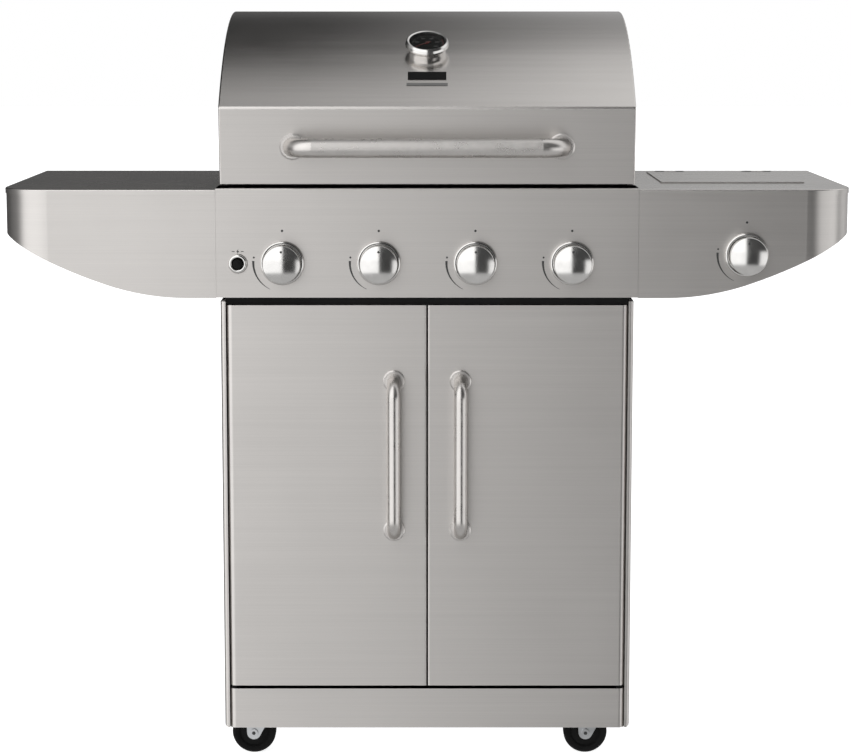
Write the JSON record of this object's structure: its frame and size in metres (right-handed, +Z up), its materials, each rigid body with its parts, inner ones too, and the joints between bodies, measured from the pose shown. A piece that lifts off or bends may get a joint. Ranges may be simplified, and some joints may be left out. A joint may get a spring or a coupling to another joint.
{
  "type": "gas barbecue grill",
  "caption": "Stainless gas barbecue grill on a wheeled cabinet, with a curved hinged lid, cast cooking grates, turning knobs, folding-edge side shelves and a covered side burner.",
  "frame": {"origin": "on the floor under the centre of the grill's bounding box", "axes": "+X to the right seen from the front, +Y from the front to the back, +Z up; the front faces -Y"},
  "size_m": [1.328, 0.5566, 1.186],
  "materials": {
    "stainless_sheet": "fine brushed",
    "satin_tube": "satin",
    "knob_chrome": "polished",
    "rack_wire": "plated wire",
    "black_enamel": "gloss enamel",
    "black_paint": "satin black",
    "galvanised": "galvanised sheet",
    "zinc": "zinc plated",
    "burner_steel": "heat-toned stainless",
    "cast": "matt cast iron",
    "brass": "machined",
    "black_plastic": "black",
    "dial_face": "printed dial",
    "needle": "painted pointer",
    "clear_glass": "clear",
    "badge": "black badge",
    "tyre_black": "moulded"
  },
  "bodies": {
    "cart": {"left_side_panel": "stainless_sheet", "right_side_panel": "stainless_sheet", "front_fascia": "stainless_sheet", "control_panel": "stainless_sheet", "left_shelf_top": "stainless_sheet", "left_shelf_fascia": "stainless_sheet", "right_shelf_top": "stainless_sheet", "right_shelf_fascia": "stainless_sheet", "knob_bezels": "knob_chrome", "warming_rack": "rack_wire", "firebox": "black_enamel", "side_burner_bowl": "black_enamel", "front_crossbar": "black_paint", "hinge_pins": "black_paint", "cabinet_floor": "galvanised", "rear_panel": "galvanised", "shelf_brackets": "galvanised", "caster_plates": "zinc", "fasteners": "zinc", "gas_manifold": "zinc", "main_burners": "burner_steel", "heat_tents": "burner_steel", "cooking_grates": "cast", "side_burner_grate": "cast", "side_burner_head": "cast", "valve_bodies": "brass", "igniter_housing": "black_plastic"},
    "lid": {"lid_shell": "stainless_sheet", "lid_end_caps": "stainless_sheet", "lid_handle": "satin_tube", "gauge_housing": "knob_chrome", "gauge_dial": "dial_face", "gauge_glass": "clear_glass", "name_plate": "badge"},
    "gauge_needle": {"gauge_needle": "needle"},
    "left_door": {"left_door": "stainless_sheet", "left_door_handle": "satin_tube"},
    "right_door": {"right_door": "stainless_sheet", "right_door_handle": "satin_tube"},
    "igniter_button": {"igniter_button": "black_plastic"},
    "side_burner_lid": {"side_burner_lid": "stainless_sheet"},
    "grease_tray": {"grease_tray": "galvanised"},
    "valve_stem_1": {"valve_stem_1": "zinc"},
    "knob_1": {"knob_1": "knob_chrome"},
    "valve_stem_2": {"valve_stem_2": "zinc"},
    "knob_2": {"knob_2": "knob_chrome"},
    "valve_stem_3": {"valve_stem_3": "zinc"},
    "knob_3": {"knob_3": "knob_chrome"},
    "valve_stem_4": {"valve_stem_4": "zinc"},
    "knob_4": {"knob_4": "knob_chrome"},
    "valve_stem_5": {"valve_stem_5": "zinc"},
    "knob_5": {"knob_5": "knob_chrome"},
    "caster_fork_front_left": {"caster_fork_front_left": "zinc"},
    "caster_wheel_front_left": {"caster_wheel_front_left": "tyre_black"},
    "caster_fork_front_right": {"caster_fork_front_right": "zinc"},
    "caster_wheel_front_right": {"caster_wheel_front_right": "tyre_black"},
    "caster_fork_rear_left": {"caster_fork_rear_left": "zinc"},
    "caster_wheel_rear_left": {"caster_wheel_rear_left": "tyre_black"},
    "caster_fork_rear_right": {"caster_fork_rear_right": "zinc"},
    "caster_wheel_rear_right": {"caster_wheel_rear_right": "tyre_black"}
  },
  "joints": [
    {"name": "lid_hinge", "type": "hinge", "parent": "cart", "child": "lid", "pos_m": [0, 0.22833, 0.95], "axis": [-1, 0, 0], "range_deg": [0, 88]},
    {"name": "gauge_pointer", "type": "hinge", "parent": "lid", "child": "gauge_needle", "pos_m": [0, -0.10967, 1.12158], "axis": [0, 0.4783, -0.8782], "range_deg": [0, 250], "stiffness_Nm_per_rad": 0.0002},
    {"name": "left_door_hinge", "type": "hinge", "parent": "cart", "child": "left_door", "pos_m": [-0.3055, -0.21667, 0.43], "axis": [0, 0, -1], "range_deg": [0, 110]},
    {"name": "right_door_hinge", "type": "hinge", "parent": "cart", "child": "right_door", "pos_m": [0.3055, -0.21667, 0.43], "axis": [0, 0, 1], "range_deg": [0, 110]},
    {"name": "valve_turn_1", "type": "hinge", "parent": "cart", "child": "valve_stem_1", "pos_m": [-0.225, -0.22167, 0.798], "axis": [0, -1, 0], "range_deg": [0, 155]},
    {"name": "knob_push_1", "type": "slide", "parent": "valve_stem_1", "child": "knob_1", "axis": [0, 1, 0], "range_m": [0, 0.004], "stiffness_N_per_m": 1200, "springref_m": -0.001},
    {"name": "valve_turn_2", "type": "hinge", "parent": "cart", "child": "valve_stem_2", "pos_m": [-0.075, -0.22167, 0.798], "axis": [0, -1, 0], "range_deg": [0, 155]},
    {"name": "knob_push_2", "type": "slide", "parent": "valve_stem_2", "child": "knob_2", "axis": [0, 1, 0], "range_m": [0, 0.004], "stiffness_N_per_m": 1200, "springref_m": -0.001},
    {"name": "valve_turn_3", "type": "hinge", "parent": "cart", "child": "valve_stem_3", "pos_m": [0.075, -0.22167, 0.798], "axis": [0, -1, 0], "range_deg": [0, 155]},
    {"name": "knob_push_3", "type": "slide", "parent": "valve_stem_3", "child": "knob_3", "axis": [0, 1, 0], "range_m": [0, 0.004], "stiffness_N_per_m": 1200, "springref_m": -0.001},
    {"name": "valve_turn_4", "type": "hinge", "parent": "cart", "child": "valve_stem_4", "pos_m": [0.225, -0.22167, 0.798], "axis": [0, -1, 0], "range_deg": [0, 155]},
    {"name": "knob_push_4", "type": "slide", "parent": "valve_stem_4", "child": "knob_4", "axis": [0, 1, 0], "range_m": [0, 0.004], "stiffness_N_per_m": 1200, "springref_m": -0.001},
    {"name": "valve_turn_5", "type": "hinge", "parent": "cart", "child": "valve_stem_5", "pos_m": [0.496, -0.22167, 0.811], "axis": [0, -1, 0], "range_deg": [0, 155]},
    {"name": "knob_push_5", "type": "slide", "parent": "valve_stem_5", "child": "knob_5", "axis": [0, 1, 0], "range_m": [0, 0.004], "stiffness_N_per_m": 1200, "springref_m": -0.001},
    {"name": "igniter_push", "type": "slide", "parent": "cart", "child": "igniter_button", "axis": [0, 1, 0], "range_m": [0, 0.003], "stiffness_N_per_m": 1200, "springref_m": -0.001},
    {"name": "side_burner_lid_hinge", "type": "hinge", "parent": "cart", "child": "side_burner_lid", "pos_m": [0.492, 0.21933, 0.9135], "axis": [-1, 0, 0], "range_deg": [0, 95]},
    {"name": "grease_tray_slide", "type": "slide", "parent": "cart", "child": "grease_tray", "axis": [0, 1, 0], "range_m": [0, 0.26]},
    {"name": "swivel_front_left", "type": "hinge", "parent": "cart", "child": "caster_fork_front_left", "pos_m": [-0.267, -0.16567, 0.085], "axis": [0, 0, 1], "continuous": true},
    {"name": "roll_front_left", "type": "hinge", "parent": "caster_fork_front_left", "child": "caster_wheel_front_left", "pos_m": [-0.279, -0.16567, 0.035], "axis": [0, 1, 0], "continuous": true},
    {"name": "swivel_front_right", "type": "hinge", "parent": "cart", "child": "caster_fork_front_right", "pos_m": [0.267, -0.16567, 0.085], "axis": [0, 0, 1], "continuous": true},
    {"name": "roll_front_right", "type": "hinge", "parent": "caster_fork_front_right", "child": "caster_wheel_front_right", "pos_m": [0.255, -0.16567, 0.035], "axis": [0, 1, 0], "continuous": true},
    {"name": "swivel_rear_left", "type": "hinge", "parent": "cart", "child": "caster_fork_rear_left", "pos_m": [-0.267, 0.20833, 0.085], "axis": [0, 0, 1], "continuous": true},
    {"name": "roll_rear_left", "type": "hinge", "parent": "caster_fork_rear_left", "child": "caster_wheel_rear_left", "pos_m": [-0.279, 0.20833, 0.035], "axis": [0, 1, 0], "continuous": true},
    {"name": "swivel_rear_right", "type": "hinge", "parent": "cart", "child": "caster_fork_rear_right", "pos_m": [0.267, 0.20833, 0.085], "axis": [0, 0, 1], "continuous": true},
    {"name": "roll_rear_right", "type": "hinge", "parent": "caster_fork_rear_right", "child": "caster_wheel_rear_right", "pos_m": [0.255, 0.20833, 0.035], "axis": [0, 1, 0], "continuous": true}
  ]
}
